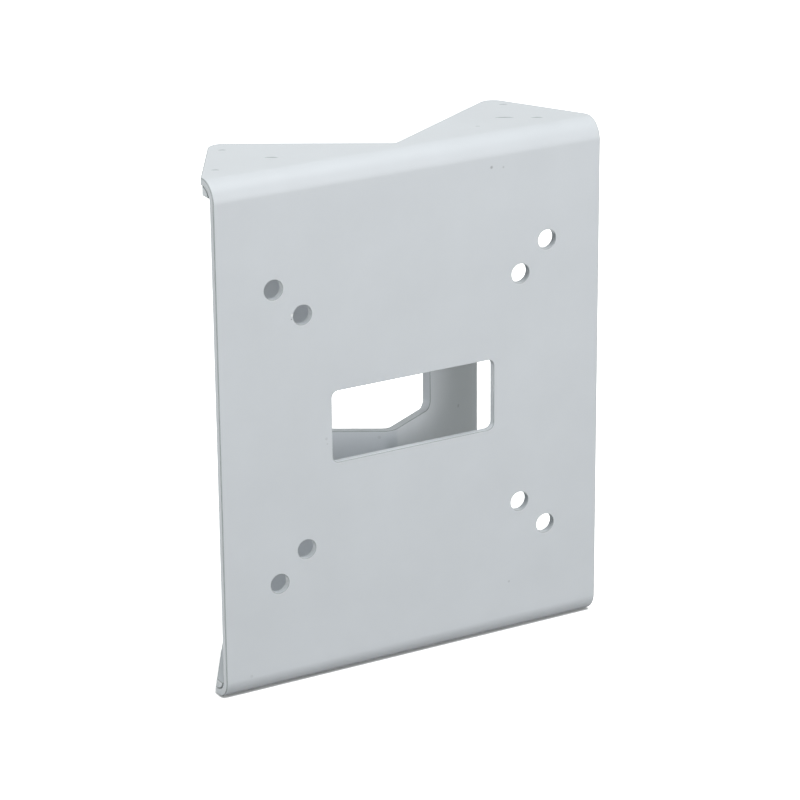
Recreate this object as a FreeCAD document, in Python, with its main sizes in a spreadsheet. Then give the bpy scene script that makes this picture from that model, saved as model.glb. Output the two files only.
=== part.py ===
import FreeCAD, Part
import math
import os

import Sketcher

# Camera pole mount bracket: two folded steel sheets, spot-welded together and painted as one.
# Millimetres. The origin is the centre of the camera plate's outer face, +X to the right of
# someone who faces that plate, +Y rearwards to the pole and +Z up.

DIMENSIONS = {
    # front sheet: camera plate and its two flanges
    "plate_width": 140,
    "plate_height": 175,
    "front_thickness": 2.5,
    "front_bend": 8,  # outer radius of the bends between plate and flanges
    "side_straight": 8.3,  # depth at which the flanges' sides start to slant inwards
    "vee_angle": 30,  # between each wing of the V and the plate
    "vee_depth": 10.8,  # from the plate's face to the root of the V in the flanges
    "vee_root_radius": 2,
    "horn_radius": 5,  # corners at the flanges' rear tips
    # front sheet: window and holes
    "window_width": 60,
    "window_height": 24.5,
    "window_radius": 2.3,
    "outer_pattern": 100,  # side of the square of the outer four holes
    "inner_pattern": 80,
    "hole_diameter": 6.6,
    "rim_radius": 0.5,  # rounding that the punch leaves where it enters the plate
    # rear sheet: V-bent seat for the pole
    "rear_thickness": 3,
    "rear_bend": 6.1,  # outer radius of its bends
    "flange_inset": 0.8,  # its flanges' slanted ends, inside those of the front sheet
    "web_inset": 1.4,  # the seat's ends, inside the same line
    "relief_reach": 7,  # along each wing from the root of the V to where the flanges start
    "nest_clearance": 0.3,  # between the front sheet's inner bend and the flanges' nose
    "opening_reach": 26.2,  # along each wing from the root of the V to the opening's end
    "opening_height": 24,
    "opening_radius": 2.8,
}

doc = FreeCAD.newDocument("camera_pole_mount_bracket")
sheet = doc.addObject("Spreadsheet::Sheet", "dims")
for row, (alias, number) in enumerate(DIMENSIONS.items(), start=1):
    sheet.set(f"A{row}", alias)
    sheet.set(f"B{row}", str(number))
    sheet.setAlias(f"B{row}", alias)
doc.recompute()


class Size:
    """A length or angle: its present value, and the expression that ties it to the sheet."""

    def __init__(self, value, text):
        self.value = float(value)
        self.text = text

    def __add__(self, other):
        return Size(self.value + size(other).value, f"({self.text} + {size(other).text})")

    def __sub__(self, other):
        return Size(self.value - size(other).value, f"({self.text} - {size(other).text})")

    def __mul__(self, other):
        return Size(self.value * size(other).value, f"({self.text} * {size(other).text})")

    def __truediv__(self, other):
        return Size(self.value / size(other).value, f"({self.text} / {size(other).text})")

    def __neg__(self):
        return Size(-self.value, f"(0 - {self.text})")


def size(item):
    return item if isinstance(item, Size) else Size(item, str(item))


def dim(alias):
    return Size(sheet.get(alias), f"dims.{alias}")


def sine(angle):
    return Size(math.sin(math.radians(angle.value)), f"sin({angle.text})")


def cosine(angle):
    return Size(math.cos(math.radians(angle.value)), f"cos({angle.text})")


def bind(item, path, amount):
    item.setExpression(path, amount.text)


# Sketches and features

def new_body(name):
    body = doc.addObject("PartDesign::Body", name)
    body.Label = name
    return body


def origin_plane(body, role):
    return next(item for item in body.Origin.OriginFeatures if item.Role == role)


def new_sketch(body, name, plane):
    sketch = body.newObject("Sketcher::SketchObject", name)
    sketch.AttachmentSupport = [(origin_plane(body, plane), "")]
    sketch.MapMode = "FlatFace"
    return sketch


def turn_to_right_wing(sketch, shift):
    """Turns a sketch about the vertical, in line with the right wing, and shifts it."""
    turn = FreeCAD.Rotation(FreeCAD.Vector(0, 1, 0), vee_angle.value)
    base = FreeCAD.Vector(*(amount.value for amount in shift))
    sketch.AttachmentOffset = FreeCAD.Placement(base, turn)
    for axis, amount in zip("xyz", shift):
        bind(sketch, f"AttachmentOffset.Base.{axis}", amount)
    bind(sketch, "AttachmentOffset.Rotation.Angle", vee_angle)


def hold(sketch, kind, *places, amount):
    """Adds a sized constraint, tied to the sheet."""
    number = sketch.addConstraint(Sketcher.Constraint(kind, *places, amount.value))
    name = f"{kind}_{number}"
    sketch.renameConstraint(number, name)
    bind(sketch, f"Constraints.{name}", amount)


def hold_point(sketch, element, end, x, y):
    hold(sketch, "DistanceX", -1, 1, element, end, amount=x)
    hold(sketch, "DistanceY", -1, 1, element, end, amount=y)


def draw_round(sketch, place, arrive, leave, radius):
    """Adds the arc that rounds a corner; gives it with its ends and their two places."""
    setback = radius.value * math.tan(arrive.getAngle(leave) / 2)
    entry = place - arrive * setback
    departure = place + leave * setback
    side = 1 if arrive.cross(leave).z > 0 else -1
    centre = entry + FreeCAD.Vector(-arrive.y, arrive.x, 0) * side * radius.value
    angles = [math.atan2(end.y - centre.y, end.x - centre.x) for end in (entry, departure)]
    circle = Part.Circle(centre, FreeCAD.Vector(0, 0, 1), radius.value)
    arc = sketch.addGeometry(Part.ArcOfCircle(circle, *angles[::side]))
    ends = (1, 2)[::side]
    return arc, ends, entry, departure


def draw_outline(sketch, *corners):
    """Draws a closed outline through corners of x and y, and a radius where one is rounded."""
    count = len(corners)
    corners = [[size(item) for item in corner] for corner in corners]
    places = [FreeCAD.Vector(corner[0].value, corner[1].value, 0) for corner in corners]
    ways = [(places[(i + 1) % count] - places[i]).normalize() for i in range(count)]
    rounds = {}
    for i, corner in enumerate(corners):
        if len(corner) == 3:
            rounds[i] = draw_round(sketch, places[i], ways[i - 1], ways[i], corner[2])
    lines = []
    for i in range(count):
        after = (i + 1) % count
        start = rounds[i][3] if i in rounds else places[i]
        finish = rounds[after][2] if after in rounds else places[after]
        lines.append(sketch.addGeometry(Part.LineSegment(start, finish)))
    for i, corner in enumerate(corners):
        before, line = lines[i - 1], lines[i]
        if i not in rounds:
            sketch.addConstraint(Sketcher.Constraint("Coincident", before, 2, line, 1))
            hold_point(sketch, line, 1, corner[0], corner[1])
            continue
        arc, (first, last) = rounds[i][:2]
        point = sketch.addGeometry(Part.Point(places[i]), True)
        sketch.addConstraint(Sketcher.Constraint("Tangent", before, 2, arc, first))
        sketch.addConstraint(Sketcher.Constraint("Tangent", arc, last, line, 1))
        sketch.addConstraint(Sketcher.Constraint("PointOnObject", point, 1, before))
        sketch.addConstraint(Sketcher.Constraint("PointOnObject", point, 1, line))
        hold(sketch, "Radius", arc, amount=corner[2])
        hold_point(sketch, point, 1, corner[0], corner[1])


def draw_rectangle(sketch, width, height, radius):
    draw_outline(sketch, (-width / 2, -height / 2, radius), (width / 2, -height / 2, radius),
                 (width / 2, height / 2, radius), (-width / 2, height / 2, radius))


def draw_hole_square(sketch, side, diameter):
    for x in (-side / 2, side / 2):
        for y in (-side / 2, side / 2):
            centre = FreeCAD.Vector(x.value, y.value, 0)
            axis = FreeCAD.Vector(0, 0, 1)
            hole = sketch.addGeometry(Part.Circle(centre, axis, diameter.value / 2))
            hold(sketch, "Diameter", hole, amount=diameter)
            hold_point(sketch, hole, 3, x, y)


def pad(body, sketch, name, length, symmetric=False):
    feature = body.newObject("PartDesign::Pad", name)
    feature.Profile = sketch
    feature.SideType = "Symmetric" if symmetric else "One side"
    bind(feature, "Length", length)
    doc.recompute()
    return feature


def pocket(body, sketch, name, length=None):
    """Cuts the sketch both ways from its plane, by a length in all or through everything."""
    before = body.Shape.Volume
    feature = body.newObject("PartDesign::Pocket", name)
    feature.Profile = sketch
    feature.SideType = "Symmetric"
    if length is None:
        feature.Type = "ThroughAll"
    else:
        bind(feature, "Length", length)
    doc.recompute()
    if not feature.Shape.Volume < before:
        raise RuntimeError(f"{name} cuts nothing")
    return feature


def mirror_to_left(body, name, features):
    feature = body.newObject("PartDesign::Mirrored", name)
    feature.Originals = features
    feature.MirrorPlane = (origin_plane(body, "YZ_Plane"), [""])
    body.Tip = feature
    doc.recompute()
    return feature


def fillet(body, name, radius, is_wanted):
    base = body.Tip
    edges = [f"Edge{number}" for number, edge in enumerate(base.Shape.Edges, start=1) if is_wanted(edge)]
    feature = body.newObject("PartDesign::Fillet", name)
    feature.Base = (base, edges)
    bind(feature, "Radius", radius)
    doc.recompute()
    return feature


# Sizes that both sheets share

vee_angle = dim("vee_angle")
sin_vee = sine(vee_angle)
cos_vee = cosine(vee_angle)
vee_depth = dim("vee_depth")
half_width = dim("plate_width") / 2
half_height = dim("plate_height") / 2
front_thickness = dim("front_thickness")
front_bend = dim("front_bend")
side_straight = dim("side_straight")
margin = front_bend  # how far a cut reaches past what it cuts


def on_wing(along, offset):
    """The x and y of a point of the right wing, from the root of the V in the flanges."""
    x = along * cos_vee - offset * sin_vee
    y = vee_depth + along * sin_vee + offset * cos_vee
    return x, y


# The flanges' slanted sides stand square to the wings and start at the plate's sides.
wing_length = half_width * cos_vee + (side_straight - vee_depth) * sin_vee
horn_x, horn_y = on_wing(wing_length, size(0))


def make_front_sheet():
    body = new_body("front_sheet")
    inner_bend = front_bend - front_thickness
    section = new_sketch(body, "folded_section", "YZ_Plane")
    draw_outline(
        section,
        (horn_y, -half_height),
        (horn_y, front_thickness - half_height),
        (front_thickness, front_thickness - half_height, inner_bend),
        (front_thickness, half_height - front_thickness, inner_bend),
        (horn_y, half_height - front_thickness),
        (horn_y, half_height),
        (0, half_height, front_bend),
        (0, -half_height, front_bend),
    )
    pad(body, section, "folded_sheet", half_width * 2, symmetric=True)

    outline = new_sketch(body, "flange_outline", "XY_Plane")
    horn_radius = dim("horn_radius")
    draw_outline(
        outline,
        (half_width + margin, side_straight),
        (half_width + margin, horn_y + margin),
        (-half_width - margin, horn_y + margin),
        (-half_width - margin, side_straight),
        (-half_width, side_straight),
        (-horn_x, horn_y, horn_radius),
        (0, vee_depth, dim("vee_root_radius")),
        (horn_x, horn_y, horn_radius),
        (half_width, side_straight),
    )
    pocket(body, outline, "flange_trim")

    window = new_sketch(body, "window_outline", "XZ_Plane")
    draw_rectangle(window, dim("window_width"), dim("window_height"), dim("window_radius"))
    pocket(body, window, "window", front_thickness * 3)

    holes = new_sketch(body, "hole_centres", "XZ_Plane")
    for pattern in ("outer_pattern", "inner_pattern"):
        draw_hole_square(holes, dim(pattern), dim("hole_diameter"))
    pocket(body, holes, "camera_holes", front_thickness * 3)

    def is_punched_rim(edge):
        box = edge.BoundBox
        on_face = abs(box.YMin) < 1e-6 and abs(box.YMax) < 1e-6
        inside = box.XMin > -half_width.value + 1 and box.XMax < half_width.value - 1
        return on_face and inside

    fillet(body, "punched_rims", dim("rim_radius"), is_punched_rim)
    return body


def make_rear_sheet():
    body = new_body("rear_sheet")
    thickness = dim("rear_thickness")
    bend = dim("rear_bend")
    inner_bend = bend - thickness
    under_flange = half_height - front_thickness
    web_end = wing_length - dim("web_inset")
    flange_end = wing_length - dim("flange_inset")
    relief = dim("relief_reach")

    # The seat's front face lies at the inner radius behind the flanges' V, its rear at the outer.
    rear_x, rear_y = on_wing(web_end, bend)
    front_x, front_y = on_wing(web_end, inner_bend)
    plan = new_sketch(body, "seat_plan", "XY_Plane")
    draw_outline(
        plan,
        (0, vee_depth + inner_bend / cos_vee, bend),
        (front_x, front_y),
        (rear_x, rear_y),
        (0, vee_depth + bend / cos_vee, inner_bend),
        (-rear_x, rear_y),
        (-front_x, front_y),
    )
    seat_height = (under_flange - bend) * 2
    pad(body, plan, "pole_seat", seat_height, symmetric=True)

    # Each flange's section takes a stretch of the seat along, as high as the sheet is thick. The
    # flanges run forwards past the nose, square to the wing, and are then trimmed.
    section_end = under_flange - bend - thickness
    flange_run = (vee_depth + wing_length * sin_vee) / cos_vee
    section = new_sketch(body, "flange_section", "YZ_Plane")
    start_x, start_y = on_wing(relief, size(0))
    turn_to_right_wing(section, (start_y, size(0), start_x))
    for up in (size(1), size(-1)):
        draw_outline(
            section,
            (-flange_run, up * (under_flange - thickness)),
            (inner_bend, up * (under_flange - thickness), inner_bend),
            (inner_bend, up * section_end),
            (bend, up * section_end),
            (bend, up * under_flange, bend),
            (-flange_run, up * under_flange),
        )
    flanges = pad(body, section, "right_flanges", flange_end - relief)

    side = new_sketch(body, "side_outline", "XY_Plane")
    draw_outline(
        side,
        (half_width, -margin),
        (half_width + margin * 2, -margin),
        (half_width + margin * 2, horn_y),
        (half_width, horn_y),
    )
    side_cut = pocket(body, side, "right_side_trim")

    # The opening is punched square to each wing, before the sheet is bent.
    opening = new_sketch(body, "opening_outline", "XZ_Plane")
    middle_x, middle_y = on_wing(size(0), bend - thickness / 2)
    turn_to_right_wing(opening, (middle_x, size(0), -middle_y))
    reach = dim("opening_reach")
    half_opening = dim("opening_height") / 2
    draw_outline(
        opening,
        (0, -half_opening),
        (reach, -half_opening, dim("opening_radius")),
        (reach, half_opening, dim("opening_radius")),
        (0, half_opening),
    )
    opening_cut = pocket(body, opening, "right_half_of_opening", thickness * 2)
    mirror_to_left(body, "left_half", [flanges, side_cut, opening_cut])

    # The flanges' front edges are rounded to sit in the front sheet's inner bends.
    nose_radius = front_bend - front_thickness - dim("nest_clearance")
    nose_y = front_bend + dim("nest_clearance") - nose_radius
    nose = new_sketch(body, "nose_outline", "YZ_Plane")
    for up in (size(1), size(-1)):
        draw_outline(
            nose,
            (nose_y, up * (under_flange - nose_radius - margin)),
            (nose_y, up * under_flange, nose_radius),
            (nose_y + margin, up * under_flange),
            (nose_y + margin, up * (under_flange + margin)),
            (-flange_run, up * (under_flange + margin)),
            (-flange_run, up * (under_flange - nose_radius - margin)),
        )
    body.Tip = pocket(body, nose, "nose_trim")
    return body


def export(bodies):
    """Checks every object of the document, then writes one file for each sheet."""
    doc.recompute()
    for item in doc.Objects:
        if "Invalid" in item.State or "Error" in item.State:
            raise RuntimeError(f"{item.Name} failed: {item.State}")
        if item.isDerivedFrom("Sketcher::SketchObject") and item.solve() != 0:
            raise RuntimeError(f"{item.Name} is not solved")
    os.makedirs("parts", exist_ok=True)
    for body in bodies:
        shape = body.Shape
        if shape.isNull() or not shape.isValid() or len(shape.Solids) != 1:
            raise RuntimeError(f"{body.Label} is not one valid solid")
        shape.exportStep(os.path.join("parts", f"{body.Label}.step"))
        print(body.Label, "volume", round(shape.Volume, 1), shape.BoundBox)


export([make_front_sheet(), make_rear_sheet()])
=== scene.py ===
"""Camera pole mount bracket: the two coated steel sheets, their finish, the light and the camera."""
import math
from contextlib import contextmanager

import bmesh
import bpy
from bpy.props import FloatProperty, PointerProperty, StringProperty
from mathutils import Matrix, Vector


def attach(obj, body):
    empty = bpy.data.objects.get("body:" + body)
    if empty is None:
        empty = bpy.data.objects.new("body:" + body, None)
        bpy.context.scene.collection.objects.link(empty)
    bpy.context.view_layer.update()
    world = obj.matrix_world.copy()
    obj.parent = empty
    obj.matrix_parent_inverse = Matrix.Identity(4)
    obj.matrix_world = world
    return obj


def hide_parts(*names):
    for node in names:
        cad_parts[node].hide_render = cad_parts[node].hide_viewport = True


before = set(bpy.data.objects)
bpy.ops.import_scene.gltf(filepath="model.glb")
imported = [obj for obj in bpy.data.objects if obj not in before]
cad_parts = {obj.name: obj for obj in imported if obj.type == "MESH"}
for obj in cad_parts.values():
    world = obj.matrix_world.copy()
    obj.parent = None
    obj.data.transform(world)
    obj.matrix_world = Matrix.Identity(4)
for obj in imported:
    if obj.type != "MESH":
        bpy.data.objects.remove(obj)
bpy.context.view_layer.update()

bl_info = {
    "name": "Camera Pole Mount Bracket",
    "version": (1, 0, 0),
    "blender": (4, 5, 0),
    "location": "3D View > Sidebar > Bracket",
    "description": "Builds the folded sheets of a camera bracket for a pole, with their powder coat",
    "category": "Add Mesh",
}

MM = 0.001  # one millimetre in Blender's metres
UP = Vector((0, 0, 1))
QUARTER_TURN = math.pi / 2
NEAR = 0.01 * MM  # a vertex this close to a place counts as being there
SEAM = 0.05 * MM  # a vertex this close to the mirror plane belongs on it
SAME = 0.002 * MM  # vertices this close to each other are one vertex
SLIVER = 0.03 * MM  # edges shorter than this are left over from a cut
FLAT = math.radians(0.5)  # faces that turn by less than this are one face
FACET = math.radians(50)  # faces that turn by less than this are one smooth surface
CORNER = math.radians(40)  # edges that turn by more than this are corners, which the coat rounds
COAT_STEPS = 3  # facets across the rounding that the coat gives to a corner
PUNCH_STEPS = 8  # facets round a corner of the window or the rear opening
THIN_COAT_AND_SHADE = 1  # the material slot of the darker coat over a cut corner: thin coat, and painted shade of the rounding


def length(name, description, default):
    """A length of the object, given in millimetres and kept in metres."""
    return FloatProperty(name=name, description=description, default=default * MM, min=0.0,
                         precision=2, subtype="DISTANCE", unit="LENGTH")


def offset(name, description, default):
    """A distance to either side, given in millimetres and kept in metres."""
    return FloatProperty(name=name, description=description, default=default * MM,
                         precision=2, subtype="DISTANCE", unit="LENGTH")


def angle(name, description, default):
    """An angle, given in degrees and kept in radians."""
    return FloatProperty(name=name, description=description, default=math.radians(default),
                         subtype="ANGLE", unit="ROTATION")


def factor(name, description, default):
    """A share from 0 to 1."""
    return FloatProperty(name=name, description=description, default=default, min=0.0, max=1.0,
                         subtype="FACTOR")


def paint(name, description, default):
    """A colour, kept as its sRGB hex value."""
    return StringProperty(name=name, description=description, default=default)


class FrontSheetSizes(bpy.types.PropertyGroup):
    width: length("Plate width", "Width of the camera plate", 140)
    height: length("Plate height", "Height over both flanges", 175)
    thickness: length("Sheet", "Thickness of the front sheet", 2.5)
    bend: length("Bend radius", "Outer radius of the bends between plate and flanges", 7)
    side_straight: length("Straight side", "Depth at which the flanges' sides start to slant", 8.3)
    vee_angle: angle("V angle", "Angle between each wing of the V and the plate", 30)
    vee_depth: length("V depth", "From the plate's face to the root of the V", 10.8)
    vee_root: length("V root radius", "Rounding at the root of the V", 2)
    horn: length("Horn radius", "Rounding of the flanges' rear tips", 5)
    window_width: length("Window width", "Width of the cable window", 60)
    window_height: length("Window height", "Height of the cable window", 24.5)
    window_corner: length("Window corners", "Radius of the window's corners", 2.3)
    outer_pattern: length("Outer hole square", "Side of the square of the outer four holes", 100)
    inner_pattern: length("Inner hole square", "Side of the square of the inner four holes", 80)
    hole: length("Hole diameter", "Diameter of the camera holes", 6.6)
    rim: length("Punched rim", "Rounding where the punch enters the plate", 0.15)
    edge: length("Edge rounding", "Rounding that the coat gives to every cut edge", 0.3)
    weld_dent: length("Weld dent", "Depth of the marks left by the welding electrode", 0.2)
    weld_tilt: angle("Weld tilt", "Lean of the electrode that leaves them", 16)
    weld_turn: angle("Weld turn", "Way in which it leans, to the right of straight back", 29)


class RearSheetSizes(bpy.types.PropertyGroup):
    thickness: length("Sheet", "Thickness of the rear sheet", 3)
    bend: length("Bend radius", "Outer radius of its bends", 6.1)
    flange_inset: length("Flange inset", "Its flanges' ends, inside those of the front sheet", 0.5)
    web_inset: length("Seat inset", "The seat's ends, inside the same line", 1.4)
    relief: length("Relief", "Along each wing from the root of the V to the flanges", 7)
    nest: length("Nest clearance", "Between the front sheet's bend and the flanges' nose", 0.3)
    opening_reach: length("Opening reach", "Along each wing to the end of the opening", 26.2)
    opening_height: length("Opening height", "Height of the cable opening", 24)
    opening_corner: length("Opening corners", "Radius of the opening's corners", 2.8)
    edge: length("Edge rounding", "Rounding that the coat gives to every cut edge", 0.2)


class CoatLooks(bpy.types.PropertyGroup):
    colour: paint("Coat colour", "Pale grey of the powder coat", "#D5D9DE")
    # Darker coat over corners, rims and weld steps: thin coat, and painted shade of the rounded
    # edges
    corner: paint("Corner colour", "The coat where it runs thin over a cut corner", "#A3A9AB")
    # Dark specks: grit in the coat, and the painted shadow under a burr
    grit_and_burr_shade: paint("Dark speck", "Grit that settled in the wet coat", "#6E7276")
    # Painted highlight on the upper side of a burr
    burr_highlight: paint("Light speck", "Burr under the coat", "#F4F5F5")
    roughness: factor("Roughness", "Satin gloss of the coat", 0.42)
    cloud: length("Thickness clouds", "Spacing of the changes in the coat's thickness", 26)
    shade: factor("Thickness shade", "How much the tone changes with the coat's thickness", 0.02)
    peel: length("Orange peel", "Spacing of the coat's waves", 1.6)
    peel_depth: length("Peel depth", "Height of those waves", 0.05)
    peel_strength: factor("Peel strength", "How strongly they show in the light", 0.25)
    grit: length("Grain", "Spacing of the fine grain in the coat", 0.35)
    grit_depth: length("Grain depth", "Height of that grain", 0.02)
    grit_strength: factor("Grain strength", "How strongly it shows in the light", 0.2)


class StageLooks(bpy.types.PropertyGroup):
    floor: paint("Floor colour", "White paper floor", "#FFFFFF")
    floor_size: length("Floor size", "Side of the floor", 8000)
    bounce: factor("Floor bounce", "Grey that the floor has for the light it throws back", 0.2)
    contact: length("Contact shadow", "Reach of the dark line on the paper round the bracket", 1.15)
    mirrored: length("Mirrored shadow", "Reach of that line in the coat's reflection", 9)
    contact_depth: FloatProperty(name="Contact depth", description="How fast that line darkens "
                                 "towards the bracket", default=3.8, min=0.0)
    ambient: paint("Ambient light", "Soft light of the room", "#657069")
    lamp: paint("Lamp colour", "White of the soft boxes", "#FFFEFF")
    azimuth: angle("Camera azimuth", "Turn of the camera to the left of the plate", 29.036)
    elevation: angle("Camera elevation", "Height of the camera over the plate", 20.782)
    roll: angle("Camera roll", "Tilt of the camera about its view", -0.507)
    lens: FloatProperty(name="Lens", description="Focal length on a 36 mm sensor, in millimetres",
                        default=152.5)
    distance: length("Camera distance", "Along the view, from the camera to the plate", 1096.81)
    right: offset("Offset right", "How far right of the view's axis the plate's middle lies", 4.581)
    rise: offset("Offset up", "How far above the view's axis the plate's middle lies", -3.47)


class BracketSettings(bpy.types.PropertyGroup):
    front: PointerProperty(type=FrontSheetSizes)
    rear: PointerProperty(type=RearSheetSizes)
    coat: PointerProperty(type=CoatLooks)
    stage: PointerProperty(type=StageLooks)


# Modelling by hand, in code

def clear_selection():
    """Leaves edit mode, and selects nothing."""
    if bpy.context.object and bpy.context.object.mode != "OBJECT":
        bpy.ops.object.mode_set(mode="OBJECT")
    for item in list(bpy.context.selected_objects):
        item.select_set(False)


def take(piece):
    """Makes one object the only selected one, and the active one."""
    clear_selection()
    piece.select_set(True)
    bpy.context.view_layer.objects.active = piece


@contextmanager
def editing(piece):
    """Edit mode on one object, for the lines of a with block."""
    take(piece)
    bpy.ops.object.mode_set(mode="EDIT")
    yield
    bpy.ops.object.mode_set(mode="OBJECT")


def settle(piece):
    """Moves the object's place, turn and scale into its mesh."""
    take(piece)
    bpy.ops.object.transform_apply(location=True, rotation=True, scale=True)


def take_new(name, scale=(1, 1, 1)):
    """Names the object that was just added, and settles it at a scale."""
    piece = bpy.context.object
    piece.name = piece.data.name = name
    piece.scale = scale
    settle(piece)
    return piece


def add_plane(name, width, depth, place, turn=(0, 0, 0)):
    clear_selection()
    bpy.ops.mesh.primitive_plane_add(size=1.0, location=place, rotation=turn)
    return take_new(name, (width, depth, 1.0))


def add_block(name, sides, place):
    clear_selection()
    bpy.ops.mesh.primitive_cube_add(size=1.0, location=place)
    return take_new(name, sides)


def add_rod(name, radius, depth, place, turn, sides):
    clear_selection()
    bpy.ops.mesh.primitive_cylinder_add(vertices=sides, radius=radius, depth=depth,
                                        location=place, rotation=turn)
    return take_new(name)


def pick(piece, kind, wanted):
    """In edit mode, selects the vertices, edges or faces that the test wants."""
    bpy.ops.mesh.select_mode(type=kind)
    bpy.ops.mesh.select_all(action="DESELECT")
    mesh = bmesh.from_edit_mesh(piece.data)
    found = [item for item in {"VERT": mesh.verts, "EDGE": mesh.edges, "FACE": mesh.faces}[kind]
             if wanted(item)]
    for item in found:
        item.select_set(True)
    mesh.select_flush_mode()
    bmesh.update_edit_mesh(piece.data)
    if not found:
        raise RuntimeError(f"{piece.name}: nothing found to work on")


def near(value, target):
    """True where one coordinate is at a place."""
    return abs(value - target) < NEAR


def all_at(test):
    """A test for edges whose two ends both pass a test of their place."""
    return lambda edge: all(test(vertex.co) for vertex in edge.verts)


def runs_through(edge):
    """True for the edges of a punch that run through the sheet."""
    return abs((edge.verts[0].co - edge.verts[1].co).y) > MM


def is_steep(face):
    """True for a face that is nearer to upright than to level."""
    return abs(face.normal.z) < math.sqrt(0.5)


def slice_mesh(piece, point, normal, clear=False):
    """Cuts the whole mesh by a plane; what lies beyond it is left out if asked."""
    bpy.ops.mesh.select_all(action="SELECT")
    bpy.ops.mesh.bisect(plane_co=point, plane_no=normal, clear_outer=clear, use_fill=False)


def turn_outwards():
    """In edit mode, turns every face of a mesh to its outside."""
    bpy.ops.mesh.select_all(action="SELECT")
    bpy.ops.mesh.normals_make_consistent(inside=False)


def fold(piece, at, centre, axis, turn, steps):
    """Spins the edges at a place about an axis, right-handed, into the surface of a bend."""
    pick(piece, "EDGE", all_at(at))
    bpy.ops.mesh.spin(steps=steps, angle=-turn, center=centre, axis=axis)


def apply_modifier(piece, kind, **settings):
    """Adds a modifier with its settings, and applies it."""
    take(piece)
    modifier = piece.modifiers.new(kind.lower(), kind)
    for name, value in settings.items():
        setattr(modifier, name, value)
    bpy.ops.object.modifier_apply(modifier=modifier.name)


def join_halves(piece, faces_out):
    """Mirrors the right half to the left, merges the seam and turns every face outwards."""
    apply_modifier(piece, "MIRROR", use_axis=(True, False, False), use_mirror_merge=True,
                   merge_threshold=NEAR)
    with editing(piece):
        bpy.ops.mesh.select_all(action="SELECT")
        bpy.ops.mesh.remove_doubles(threshold=NEAR / 2)
        turn_outwards()
        mesh = bmesh.from_edit_mesh(piece.data)
        if not faces_out(max(mesh.faces, key=lambda face: face.calc_area()).normal):
            bpy.ops.mesh.flip_normals()


def thicken(piece, thickness):
    """Gives the folded surface the thickness of its sheet, inwards."""
    apply_modifier(piece, "SOLIDIFY", thickness=thickness, offset=-1.0, use_even_offset=True,
                   use_quality_normals=True)


def coat_corners(piece, radius, **settings):
    """Rounds every corner of the sheet, with the darker coat over it: thin coat, and painted shade
    of the rounding.
    """
    apply_modifier(piece, "BEVEL", width=radius, segments=COAT_STEPS, limit_method="ANGLE",
                   angle_limit=CORNER, material=THIN_COAT_AND_SHADE, **settings)


def cut(piece, tool):
    """Takes the tool's shape out of the piece, and removes the tool."""
    before = len(piece.data.polygons)
    apply_modifier(piece, "BOOLEAN", operation="DIFFERENCE", solver="EXACT", object=tool)
    bpy.data.objects.remove(tool)
    if len(piece.data.polygons) == before:
        raise RuntimeError(f"{piece.name}: a cut left the mesh as it was")


def clean(piece):
    """Merges the slivers that cuts leave, which would hold back the rounding of edges."""
    with editing(piece):
        bpy.ops.mesh.select_all(action="SELECT")
        bpy.ops.mesh.remove_doubles(threshold=SLIVER)
        bpy.ops.mesh.dissolve_degenerate(threshold=SLIVER)
        bpy.ops.mesh.dissolve_limited(angle_limit=FLAT)


def round_edges(piece, wanted, radius, segments, material=0):
    """Rounds the edges that the test wants, with the coat of a slot over them."""
    with editing(piece):
        pick(piece, "EDGE", wanted)
        bpy.ops.mesh.bevel(offset=radius, segments=segments, profile=0.5, affect="EDGES",
                           clamp_overlap=False, material=material)


def paint_faces(piece, wanted, slot):
    """Gives the faces that the test wants the coat in another of the piece's slots."""
    with editing(piece):
        pick(piece, "FACE", wanted)
        piece.active_material_index = slot
        bpy.ops.object.material_slot_assign()


def smooth(piece):
    """Smooth bends and rims beside flat faces that stay flat."""
    with editing(piece):
        bpy.ops.mesh.select_all(action="SELECT")
        bpy.ops.mesh.remove_doubles(threshold=SAME)
    bpy.ops.object.shade_smooth_by_angle(angle=FACET)
    apply_modifier(piece, "WEIGHTED_NORMAL", mode="FACE_AREA", weight=50, keep_sharp=True)


def finish_piece(piece, node):
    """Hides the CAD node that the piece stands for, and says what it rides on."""
    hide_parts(node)
    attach(piece, "root")


# Materials

def linear(hex_value):
    """The linear colour, with full alpha, of an sRGB hex value."""
    parts = [int(hex_value[i:i + 2], 16) / 255 for i in (1, 3, 5)]
    return [p / 12.92 if p <= 0.04045 else ((p + 0.055) / 1.055) ** 2.4 for p in parts] + [1.0]


def add_node(tree, kind, inputs=None, links=None, **settings):
    """Adds one node with its settings, the values of its inputs and the links into it."""
    node = tree.nodes.new(kind)
    for name, value in settings.items():
        setattr(node, name, value)
    for key, value in (inputs or {}).items():
        node.inputs[key].default_value = value
    for key, source in (links or {}).items():
        tree.links.new(source, node.inputs[key])
    return node


def new_material(name):
    """A material with an empty tree of nodes, and that tree."""
    material = bpy.data.materials.new(name)
    material.use_nodes = True
    material.node_tree.nodes.clear()
    return material, material.node_tree


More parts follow.
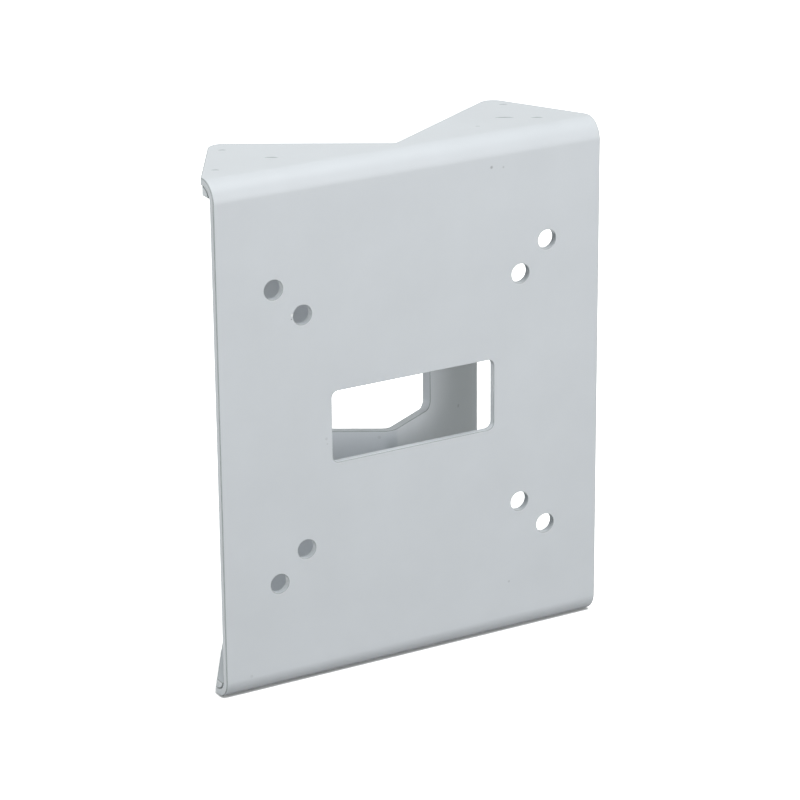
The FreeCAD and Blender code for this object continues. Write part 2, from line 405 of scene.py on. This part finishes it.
# Grit that the photograph shows in the coat, and the painted shadow and painted highlight of a burr
# by a
# hole: place and radius in millimetres, how much of it shows, and whether it is dark
SPECKS = (
    ((29.0, 0.0, 77.6), 0.7, 0.5, True),
    ((33.4, 0.0, 77.0), 0.5, 0.3, True),
    ((36.0, 0.0, -68.3), 0.6, 0.25, True),
    ((-61.0, 0.0, -80.3), 0.8, 0.15, True),
    ((37.3, 35.9, -17.3), 0.9, 0.3, True),
    ((-3.9, 16.6, -14.1), 0.8, 0.15, True),
    # Painted shadow under the burr at the rim of the hole at (-40, 40)
    ((-43.9, 0.0, 39.2), 0.3, 0.8, True),
    ((-32.2, 0.0, -3.4), 0.7, 0.16, True),
    ((-31.9, 0.0, -5.2), 0.4, 0.2, True),
    # Painted highlight on the upper side of that burr
    ((-43.6, 0.0, 40.5), 0.7, 1.0, False),
)
SPECK_CORE = 0.3  # share of a speck's radius inside which it shows most
NOISE_RANGE = (0.3, 0.7)  # nearly all values of a noise texture lie in it


def powder_coat(looks, name, hex_value):
    """Polyester powder coat, baked on steel: satin, with the shallow waves of orange peel.

    The waves break up the lamps' reflection, and a finer grain dulls it. Where the powder lies
    thicker the tone is a shade lighter, grains of grit show on the plate and the seat, and a burr
    by a hole has a painted highlight above and a painted shadow below.
    """
    material, tree = new_material(name)
    place = add_node(tree, "ShaderNodeTexCoord").outputs["Object"]

    clouds = add_node(tree, "ShaderNodeTexNoise",
                      {"Scale": 1 / looks.cloud, "Detail": 3.0, "Roughness": 0.55},
                      {"Vector": place})
    tone = add_node(tree, "ShaderNodeValToRGB", links={"Fac": clouds.outputs["Fac"]})
    for stop, at, change in zip(tone.color_ramp.elements, NOISE_RANGE,
                                (1 - looks.shade, 1 + looks.shade)):
        stop.position = at
        stop.color = [channel * change for channel in linear(hex_value)[:3]] + [1.0]

    colour = tone.outputs["Color"]
    for spot, radius, share, is_dark in SPECKS:
        reach = add_node(tree, "ShaderNodeVectorMath", {1: [c * MM for c in spot]}, {0: place},
                         operation="DISTANCE")
        spread = add_node(tree, "ShaderNodeMapRange",
                          {"From Min": radius * MM, "From Max": radius * SPECK_CORE * MM,
                           "To Max": share},
                          {"Value": reach.outputs["Value"]}, interpolation_type="SMOOTHSTEP")
        mark = linear(looks.grit_and_burr_shade if is_dark else looks.burr_highlight)
        colour = add_node(tree, "ShaderNodeMixRGB", {"Color2": mark},
                          {"Fac": spread.outputs["Result"], "Color1": colour}).outputs["Color"]

    peel = add_node(tree, "ShaderNodeTexNoise", {"Scale": 1 / looks.peel, "Detail": 2.0},
                    {"Vector": place})
    grit = add_node(tree, "ShaderNodeTexNoise", {"Scale": 1 / looks.grit, "Detail": 1.0},
                    {"Vector": place})
    waves = add_node(tree, "ShaderNodeBump",
                     {"Strength": looks.peel_strength, "Distance": looks.peel_depth},
                     {"Height": peel.outputs["Fac"]})
    grain = add_node(tree, "ShaderNodeBump",
                     {"Strength": looks.grit_strength, "Distance": looks.grit_depth},
                     {"Height": grit.outputs["Fac"], "Normal": waves.outputs["Normal"]})
    shader = add_node(tree, "ShaderNodeBsdfPrincipled",
                      {"Roughness": looks.roughness, "IOR": 1.5, "Metallic": 0.0},
                      {"Base Color": colour, "Normal": grain.outputs["Normal"]})
    add_node(tree, "ShaderNodeOutputMaterial", links={"Surface": shader.outputs["BSDF"]})
    return material


def coat(piece, looks):
    """Gives a piece the coat, and as its second slot a darker coat for cut corners: thin coat there,
    and painted shade.
    """
    for name, value in (("satin powder coat on steel", looks.colour),
                        ("thin powder coat and painted shade over a cut corner", looks.corner)):
        piece.data.materials.append(bpy.data.materials.get(name)
                                    or powder_coat(looks, name, value))


# The front sheet

def wing_length(front):
    """Along a wing of the V, from its root to the slanted end of the front sheet's flange."""
    return (front.width / 2 * math.cos(front.vee_angle)
            + (front.side_straight - front.vee_depth) * math.sin(front.vee_angle))


def punch_plate(piece, size):
    """Punches the window and both squares of holes, and rounds their rims."""
    depth = size.thickness * 4  # of the punches, which pass the plate on both sides
    window = add_block("window_punch", (size.window_width, depth, size.window_height), (0, 0, 0))
    round_edges(window, runs_through, size.window_corner, PUNCH_STEPS)
    cut(piece, window)
    for side in (size.outer_pattern, size.inner_pattern):
        for x in (-side / 2, side / 2):
            for z in (-side / 2, side / 2):
                cut(piece, add_rod("hole_punch", size.hole / 2, depth, (x, 0, z),
                                   (QUARTER_TURN, 0, 0), sides=64))
    clean(piece)

    inside = max(size.outer_pattern, size.window_width) / 2 + size.hole

    def rims_at(y):
        on_face = all_at(lambda co: near(co.y, y) and max(abs(co.x), abs(co.z)) < inside)
        return lambda edge: on_face(edge) and edge.calc_face_angle(0) > CORNER

    # The rims take the darker coat: thin coat, and painted shade along the rounded rim
    round_edges(piece, rims_at(0), size.rim, COAT_STEPS + 1, THIN_COAT_AND_SHADE)
    round_edges(piece, rims_at(size.thickness), size.edge, COAT_STEPS, THIN_COAT_AND_SHADE)


# Marks of the welding electrode in both flanges: x and y of their deep rear side, and their width,
# all in millimetres
WELD_MARKS = (
    (-62.4, 13.6, 3.0), (-50.9, 31.8, 3.0), (-41.2, 16.8, 4.8),
    (31.8, 13.6, 1.8), (44.5, 18.2, 6.6), (53.6, 12.8, 4.2), (52.2, 31.6, 3.2),
)
FULL_MARK = 4  # from this width on, a mark has the full depth


def press_welds(piece, size, looks):
    """Presses the marks with a leaning rod, whose radius gives each of them its width.

    The step that the rod's side leaves takes the darker coat, as painted shade of the step.
    """
    lean, shank = size.weld_tilt, 3 * MM
    back = Vector((math.sin(size.weld_turn), math.cos(size.weld_turn), 0))
    for x, y, width in WELD_MARKS:
        dent = size.weld_dent * min(1, width / FULL_MARK)
        radius = ((width * MM / 2) ** 2 * math.tan(lean) / dent) / 2
        for up in (1, -1):
            tip = (Vector((x * MM, y * MM, up * (size.height / 2 - dent)))
                   - back * radius * math.cos(lean) + UP * up * radius * math.sin(lean))
            middle = tip + (back * math.sin(lean) + UP * up * math.cos(lean)) * shank / 2
            electrode = add_rod("electrode", radius, shank, middle,
                                (-up * lean, 0, -size.weld_turn), sides=96)
            coat(electrode, looks)
            # The electrode's steep sides give the step the darker coat, a painted shade of the step
            paint_faces(electrode, is_steep, THIN_COAT_AND_SHADE)
            cut(piece, electrode)


class BRACKET_OT_front_sheet(bpy.types.Operator):
    """Folds the camera plate with its flanges, and punches its window and holes"""
    bl_idname = "bracket.front_sheet"
    bl_label = "Front Sheet"

    def execute(self, context):
        size, looks = context.scene.bracket.front, context.scene.bracket.coat
        slope, rise = math.cos(size.vee_angle), math.sin(size.vee_angle)
        half_width, half_height = size.width / 2, size.height / 2
        straight = half_height - size.bend
        wing = wing_length(size)
        horn = Vector((wing * slope, size.vee_depth + wing * rise))

        piece = add_plane("front_sheet_coated", half_width, straight * 2,
                          (half_width / 2, 0, 0), (QUARTER_TURN, 0, 0))
        coat(piece, looks)
        with editing(piece):
            for up in (1, -1):
                fold(piece, lambda co: near(co.z, up * straight), (0, size.bend, up * straight),
                     (1, 0, 0), -up * QUARTER_TURN, steps=24)
                pick(piece, "EDGE", all_at(lambda co: near(co.z, up * half_height)))
                bpy.ops.mesh.extrude_region_move(
                    TRANSFORM_OT_translate={"value": (0, horn.y + size.bend, 0)})
            slice_mesh(piece, (0, size.vee_depth, 0), (-rise, slope, 0), clear=True)
            slice_mesh(piece, (half_width, size.side_straight, 0), (slope, rise, 0), clear=True)
            pick(piece, "VERT", lambda v: (v.co.xy - horn).length < NEAR)
            bpy.ops.mesh.bevel(affect="VERTICES", offset=size.horn, segments=12, profile=0.5)
        join_halves(piece, lambda normal: normal.y < 0)

        with editing(piece):
            pick(piece, "EDGE", all_at(lambda co: near(co.x, 0)))
            bpy.ops.mesh.dissolve_edges(use_verts=False)
            pick(piece, "VERT", lambda v: near(v.co.x, 0) and near(v.co.y, size.vee_depth))
            bpy.ops.mesh.bevel(affect="VERTICES", segments=8, profile=0.5,
                               offset=size.vee_root * math.tan(size.vee_angle))
        thicken(piece, size.thickness)
        coat_corners(piece, size.edge)
        punch_plate(piece, size)
        press_welds(piece, size, looks)
        smooth(piece)
        finish_piece(piece, "front_sheet")
        return {"FINISHED"}


# The rear sheet

def round_noses(piece, front, size):
    """Rounds the flanges' noses to sit in the front sheet's inner bends."""
    under = front.height / 2 - front.thickness
    nose = front.bend - front.thickness - size.nest
    centre_y, centre_z = front.bend + size.nest, under - nose
    width = front.width + 10 * MM  # past both ends of the flanges
    ring = 8 * MM  # the quarter ring that is taken off is wider than the flanges' corners
    for up in (1, -1):
        tool = add_plane("nose_cutter", width, ring,
                         (0, centre_y, up * (under + ring / 2)), (QUARTER_TURN, 0, 0))
        with editing(tool):
            fold(tool, lambda co: True, (0, centre_y, up * centre_z), (1, 0, 0),
                 up * QUARTER_TURN, steps=24)
            turn_outwards()
        cut(piece, tool)


def punch_opening(piece, front, size):
    """Punches the cable opening square to each wing."""
    for side in (1, -1):
        punch = add_block("opening_punch",
                          (size.opening_reach, size.thickness * 2, size.opening_height),
                          (size.opening_reach / 2, size.bend - size.thickness / 2, 0))
        round_edges(punch, lambda edge: runs_through(edge) and edge.verts[0].co.x > MM,
                    size.opening_corner, PUNCH_STEPS)
        punch.rotation_euler.z = front.vee_angle
        punch.location.y = front.vee_depth
        settle(punch)
        punch.scale.x = side
        settle(punch)
        with editing(punch):
            turn_outwards()
        cut(piece, punch)


class BRACKET_OT_rear_sheet(bpy.types.Operator):
    """Folds the V-shaped pole seat with its four flanges, and punches its cable opening"""
    bl_idname = "bracket.rear_sheet"
    bl_label = "Rear Sheet"

    def execute(self, context):
        front, size = context.scene.bracket.front, context.scene.bracket.rear
        slope, rise = math.cos(front.vee_angle), math.sin(front.vee_angle)
        under = front.height / 2 - front.thickness
        straight = under - size.bend
        strip = straight - size.thickness
        wing = wing_length(front)
        web_end, flange_end = wing - size.web_inset, wing - size.flange_inset
        inner = size.bend - size.thickness
        turn_at = (size.bend + inner) * math.tan(front.vee_angle)
        run = (front.vee_depth + wing * rise) / slope
        front_trim = -3 * MM  # ahead of the noses, and within reach of their cutter

        # The right wing is folded along X, its rear face one bend radius behind the V's line. Past
        # web_end only the strip beside each bend is left of it.
        piece = add_plane("rear_sheet_coated", flange_end - turn_at, straight * 2,
                          ((flange_end + turn_at) / 2, size.bend, 0), (-QUARTER_TURN, 0, 0))
        coat(piece, context.scene.bracket.coat)
        with editing(piece):
            slice_mesh(piece, (size.relief, 0, 0), (1, 0, 0))
            slice_mesh(piece, (web_end, 0, 0), (1, 0, 0))
            for up in (1, -1):
                slice_mesh(piece, (0, 0, up * strip), (0, 0, 1))
            pick(piece, "FACE", lambda face: face.calc_center_median().x > web_end
                 and abs(face.calc_center_median().z) < strip)
            bpy.ops.mesh.delete(type="FACE")
            for up in (1, -1):
                fold(piece, lambda co: near(co.z, up * straight) and co.x > size.relief - NEAR,
                     (0, 0, up * straight), (1, 0, 0), up * QUARTER_TURN, steps=20)
                pick(piece, "EDGE", all_at(lambda co: near(co.z, up * under)))
                bpy.ops.mesh.extrude_region_move(TRANSFORM_OT_translate={"value": (0, -run, 0)})
            fold(piece, lambda co: near(co.x, turn_at), (turn_at, size.bend + inner, 0),
                 (0, 0, 1), -front.vee_angle, steps=8)

        # It is turned to its slant and trimmed, and its inner end is set on the mirror plane.
        piece.rotation_euler.z = front.vee_angle
        piece.location.y = front.vee_depth
        settle(piece)
        with editing(piece):
            slice_mesh(piece, (front.width / 2, 0, 0), (1, 0, 0), clear=True)
            slice_mesh(piece, (0, front_trim, 0), (0, -1, 0), clear=True)
            pick(piece, "VERT", lambda v: abs(v.co.x) < SEAM)
            bpy.ops.transform.resize(value=(0, 1, 1), center_override=(0, 0, 0))
        join_halves(piece, lambda normal: normal.y > 0)
        thicken(piece, size.thickness)
        round_noses(piece, front, size)
        punch_opening(piece, front, size)
        clean(piece)
        coat_corners(piece, size.edge, use_clamp_overlap=False)
        smooth(piece)
        finish_piece(piece, "rear_sheet")
        return {"FINISHED"}


# The stage

WHITE = (1.0, 1.0, 1.0, 1.0)


def background_only(tree):
    """Gives 1 for the rays that show the background: from the camera, a gloss or through glass."""
    path = add_node(tree, "ShaderNodeLightPath")
    seen = add_node(tree, "ShaderNodeMath", links={0: path.outputs["Is Camera Ray"],
                                                   1: path.outputs["Is Glossy Ray"]},
                    operation="MAXIMUM")
    return add_node(tree, "ShaderNodeMath", links={0: seen.outputs[0],
                                                   1: path.outputs["Is Transmission Ray"]},
                    operation="MAXIMUM").outputs[0]


def paper_floor(looks):
    """Matt white paper under studio light: shows white, keeps the shadow, and lights little.

    Round the bracket's foot its glow is darkened by a painted contact shadow, which spreads wider
    in what the coat mirrors.
    """
    material, tree = new_material("matt white paper")
    seen = add_node(tree, "ShaderNodeBsdfDiffuse", {"Color": linear(looks.floor)})
    path = add_node(tree, "ShaderNodeLightPath")
    reach = add_node(tree, "ShaderNodeMapRange",
                     {"To Min": looks.contact, "To Max": looks.mirrored},
                     {"Value": path.outputs["Is Glossy Ray"]})
    # Painted contact shadow: the floor's glow darkens with the occlusion near the bracket
    gap = add_node(tree, "ShaderNodeAmbientOcclusion", links={"Distance": reach.outputs["Result"]},
                   samples=8)
    dark = add_node(tree, "ShaderNodeMath", {1: looks.contact_depth}, {0: gap.outputs["AO"]},
                    operation="POWER")
    glow = add_node(tree, "ShaderNodeEmission", {"Color": linear(looks.floor)},
                    {"Strength": dark.outputs[0]})
    white = add_node(tree, "ShaderNodeAddShader", links={0: seen.outputs[0], 1: glow.outputs[0]})
    dull = add_node(tree, "ShaderNodeBsdfDiffuse", {"Color": [looks.bounce] * 3 + [1.0]})
    choice = add_node(tree, "ShaderNodeMixShader", links={0: background_only(tree),
                                                          1: dull.outputs[0],
                                                          2: white.outputs[0]})
    add_node(tree, "ShaderNodeOutputMaterial", links={"Surface": choice.outputs[0]})
    return material


def light_room(scene, looks):
    """Soft light from all round, and a white background where it is seen."""
    world = bpy.data.worlds.new("white room")
    scene.world = world
    world.use_nodes = True
    tree = world.node_tree
    tree.nodes.clear()
    glow = add_node(tree, "ShaderNodeMixRGB",
                    {"Color1": linear(looks.ambient), "Color2": WHITE},
                    {"Fac": background_only(tree)})
    sky = add_node(tree, "ShaderNodeBackground", links={"Color": glow.outputs["Color"]})
    add_node(tree, "ShaderNodeOutputWorld", links={"Surface": sky.outputs[0]})


def way_to(azimuth, elevation):
    """The way from the plate's middle to a place in front of it, turned left and raised."""
    return Vector((-math.sin(azimuth) * math.cos(elevation),
                   -math.cos(azimuth) * math.cos(elevation), math.sin(elevation)))


# Soft boxes of a studio: name, power in watts, azimuth to the left and elevation in degrees, side
# and distance in millimetres
LAMPS = (
    ("top_lamp", 7.1, 0, 72, 700, 1100),
    ("left_lamp", 7.9, 95, 5, 900, 1200),
    ("front_lamp", 10.8, -13, 5, 1000, 1200),
    ("back_lamp", 2.0, 180, 55, 700, 1100),
)


def hang_lamps(looks):
    """Hangs the soft boxes, each facing the plate's middle."""
    for name, power, azimuth, elevation, side, distance in LAMPS:
        way = way_to(math.radians(azimuth), math.radians(elevation))
        clear_selection()
        bpy.ops.object.light_add(type="AREA", location=way * distance * MM)
        lamp = bpy.context.object
        lamp.name = lamp.data.name = name
        lamp.data.color = linear(looks.lamp)[:3]
        lamp.data.size = side * MM
        lamp.data.energy = power
        lamp.rotation_euler = way.to_track_quat("Z", "Y").to_euler()


def set_camera(scene, looks):
    """Sets the camera at the photograph's angle, with the plate's middle beside its axis."""
    clear_selection()
    bpy.ops.object.camera_add()
    camera = bpy.context.object
    camera.name = camera.data.name = "photo_camera"
    turn, height, roll = looks.azimuth, looks.elevation, looks.roll
    ahead = -way_to(turn, height)
    right = Vector((math.cos(turn), -math.sin(turn), 0))
    up = Vector((math.sin(turn) * math.sin(height), math.cos(turn) * math.sin(height),
                 math.cos(height)))
    across = math.cos(roll) * right + math.sin(roll) * up
    upright = math.cos(roll) * up - math.sin(roll) * right
    place = -(across * looks.right + upright * looks.rise + ahead * looks.distance)
    axes = Matrix((across, upright, -ahead)).transposed().to_4x4()
    camera.matrix_world = Matrix.Translation(place) @ axes
    camera.data.sensor_width = 36.0  # in millimetres, as the lens is
    camera.data.lens = looks.lens
    camera.data.dof.use_dof = False
    camera.data.clip_start = 10 * MM
    scene.camera = camera


class BRACKET_OT_stage(bpy.types.Operator):
    """Lays the white floor and sets the room's light, the lamps and the camera"""
    bl_idname = "bracket.stage"
    bl_label = "Stage"

    def execute(self, context):
        looks, height = context.scene.bracket.stage, context.scene.bracket.front.height
        floor = add_plane("floor", looks.floor_size, looks.floor_size, (0, 0, -height / 2))
        floor.data.materials.append(paper_floor(looks))
        light_room(context.scene, looks)
        hang_lamps(looks)
        set_camera(context.scene, looks)
        context.scene.view_settings.view_transform = "Standard"
        return {"FINISHED"}


class BRACKET_PT_pieces(bpy.types.Panel):
    """Lists the bracket's pieces and their sizes"""
    bl_idname = "BRACKET_PT_pieces"
    bl_label = "Bracket"
    bl_space_type = "VIEW_3D"
    bl_region_type = "UI"
    bl_category = "Bracket"

    def draw(self, context):
        settings = context.scene.bracket
        for operator, groups in (("bracket.front_sheet", (settings.front, settings.coat)),
                                 ("bracket.rear_sheet", (settings.rear,)),
                                 ("bracket.stage", (settings.stage,))):
            self.layout.operator(operator)
            for group in groups:
                for name in group.__annotations__:
                    self.layout.prop(group, name)


CLASSES = (FrontSheetSizes, RearSheetSizes, CoatLooks, StageLooks, BracketSettings,
           BRACKET_OT_front_sheet, BRACKET_OT_rear_sheet, BRACKET_OT_stage, BRACKET_PT_pieces)


def register():
    for item in CLASSES:
        bpy.utils.register_class(item)
    bpy.types.Scene.bracket = PointerProperty(type=BracketSettings)


def unregister():
    del bpy.types.Scene.bracket
    for item in reversed(CLASSES):
        bpy.utils.unregister_class(item)


def main():
    register()
    bpy.ops.bracket.front_sheet()
    bpy.ops.bracket.rear_sheet()
    bpy.ops.bracket.stage()


if __name__ == "__main__":
    main()
